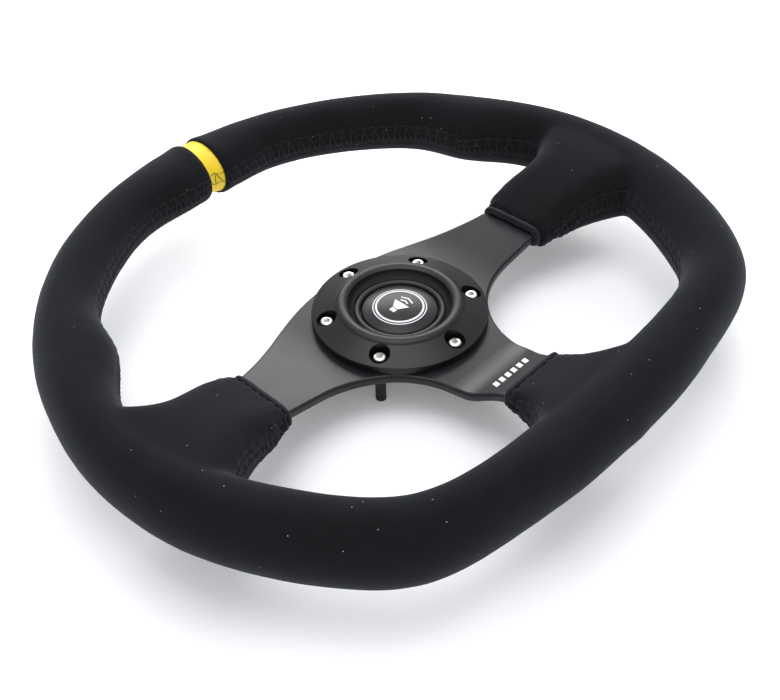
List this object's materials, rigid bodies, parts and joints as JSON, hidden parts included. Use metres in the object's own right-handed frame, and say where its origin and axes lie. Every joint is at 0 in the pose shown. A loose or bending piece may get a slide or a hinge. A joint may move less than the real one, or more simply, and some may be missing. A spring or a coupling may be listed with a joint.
{
  "type": "racing steering wheel",
  "caption": "Flat-bottomed suede racing steering wheel with bent spokes, bolted hub ring and sprung horn button.",
  "frame": {"origin": "centre of the bolt circle on the spoke plate's back face", "axes": "+X to 3 o'clock, +Y to 12 o'clock (the marker band), +Z along the steering axis towards the driver"},
  "size_m": [0.3308, 0.3003, 0.0566],
  "materials": {
    "suede": "soft brushed suede with a faint nap",
    "suede_hem": "folded suede edge",
    "marker_band": "smooth yellow leather",
    "foam": "moulded polyurethane foam",
    "spoke_black": "satin black anodised",
    "hoop_metal": "bare drawn bar",
    "weld": "rippled weld",
    "ring_black": "satin black anodised",
    "bolt_plated": "bright zinc plated, blackened thread",
    "lip_rubber": "smooth black rubber",
    "cap_black": "satin moulded plastic with a printed ring",
    "housing_plastic": "moulded plastic",
    "brass": "pressed brass sheet",
    "spring_steel": "spring steel"
  },
  "bodies": {
    "wheel": {"spoke_plate": "spoke_black", "rim_hoop": "hoop_metal", "weld_beads": "weld", "rim_foam": "foam", "cover_right": "suede", "cover_left": "suede", "hem_right": "suede_hem", "hem_left": "suede_hem", "hem_lower": "suede_hem", "centre_band": "marker_band", "hub_ring": "ring_black", "hub_bolts": "bolt_plated", "button_housing": "housing_plastic", "button_lip": "lip_rubber", "retaining_clips": "spring_steel", "fixed_contact": "brass", "spring_seat": "brass", "return_spring": "spring_steel", "terminal_live": "brass", "terminal_earth": "brass", "terminal_rivets": "brass"},
    "horn_button": {"button_cap": "cap_black", "moving_contact": "brass"}
  },
  "joints": [
    {"name": "horn_press", "type": "slide", "parent": "wheel", "child": "horn_button", "axis": [0, 0, 1], "range_m": [-0.0024, 0], "stiffness_N_per_m": 2500, "springref_m": 0.0016, "deforming": ["return_spring"]}
  ]
}
